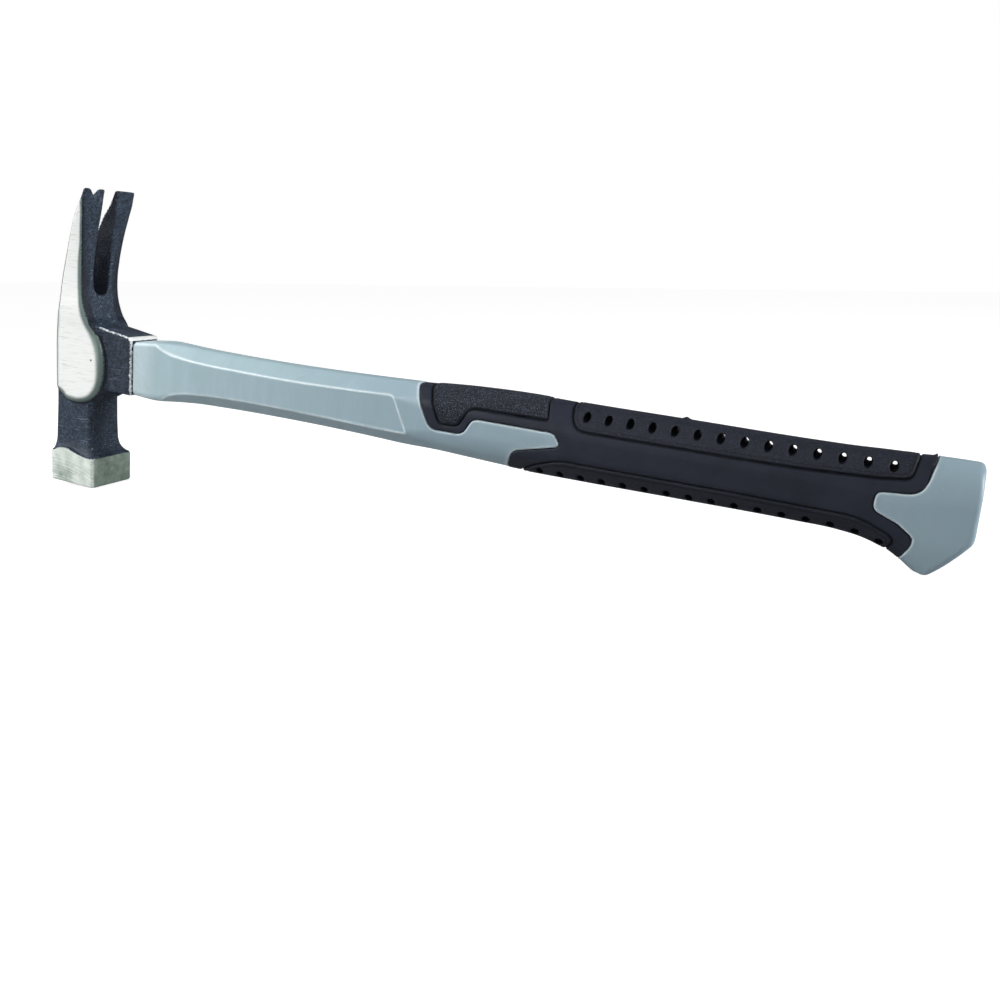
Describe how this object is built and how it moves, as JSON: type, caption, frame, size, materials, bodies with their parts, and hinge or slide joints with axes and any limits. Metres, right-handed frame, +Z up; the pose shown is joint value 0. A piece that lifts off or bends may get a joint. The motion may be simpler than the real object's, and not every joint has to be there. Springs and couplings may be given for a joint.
{
  "type": "claw hammer",
  "caption": "Claw hammer with a square face, straight split claw, grey plastic handle and black rubber grip.",
  "frame": {"origin": "middle of the bounding box's base; the hammer rests on Z = 0 on the handle-side edge of its striking face and on the heel of its butt", "axes": "+X from the head towards the butt, +Y across the head, +Z up towards the claw; the handle falls 6.6 degrees towards the butt"},
  "size_m": [0.407, 0.0308, 0.1371],
  "materials": {
    "head_steel": "blue-black textured paint, ground bare steel on the face block and cheeks",
    "epoxy": "cast, slightly glossy",
    "fibreglass": "sawn rod end",
    "grey_plastic": "satin moulded",
    "black_rubber": "matt moulded, stippled thumb pad"
  },
  "bodies": {
    "root": {"head": "head_steel", "eye_resin": "epoxy", "fibreglass_core": "fibreglass", "handle_jacket": "grey_plastic", "rubber_grip": "black_rubber"}
  },
  "joints": []
}
